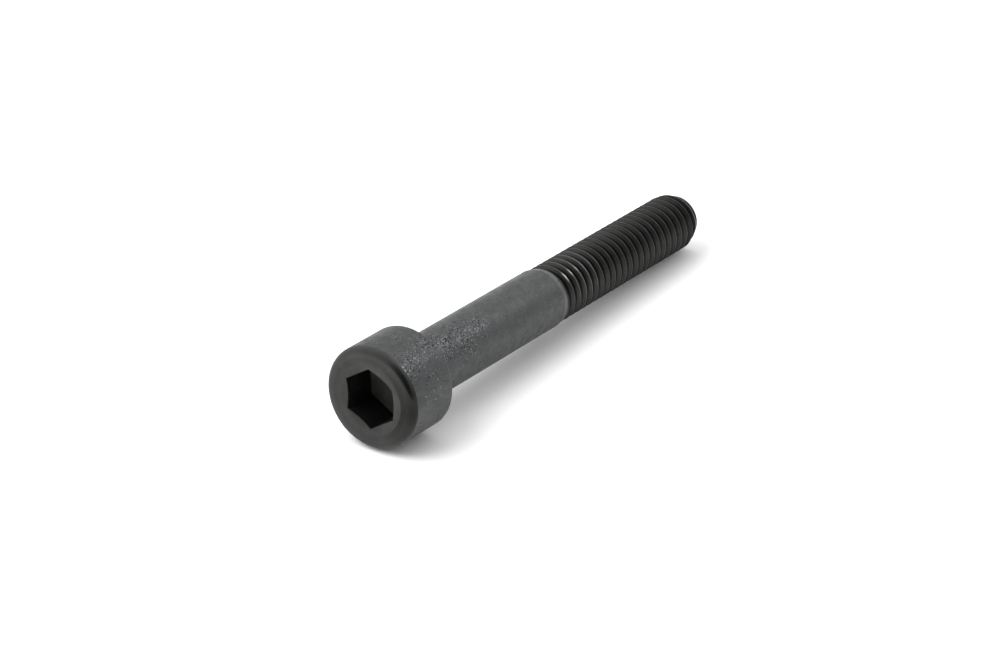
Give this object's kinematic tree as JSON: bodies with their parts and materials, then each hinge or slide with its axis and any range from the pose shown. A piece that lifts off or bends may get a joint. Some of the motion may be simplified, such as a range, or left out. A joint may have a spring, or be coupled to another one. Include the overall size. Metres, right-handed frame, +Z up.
{
  "type": "socket head cap screw",
  "caption": "Partly threaded steel screw with a tall round head and a hexagon socket for a key, lying on its side.",
  "frame": {"origin": "centre of the underside of the bounding box, on the table the screw lies on", "axes": "+X along the screw as it lies, from the head to the tip; +Z up"},
  "size_m": [0.0516, 0.0098, 0.01],
  "materials": {
    "black_steel": "black oxide coat on steel, semi-matte on the head and shank, oily on the thread"
  },
  "bodies": {
    "root": {"cap_screw": "black_steel"}
  },
  "joints": []
}
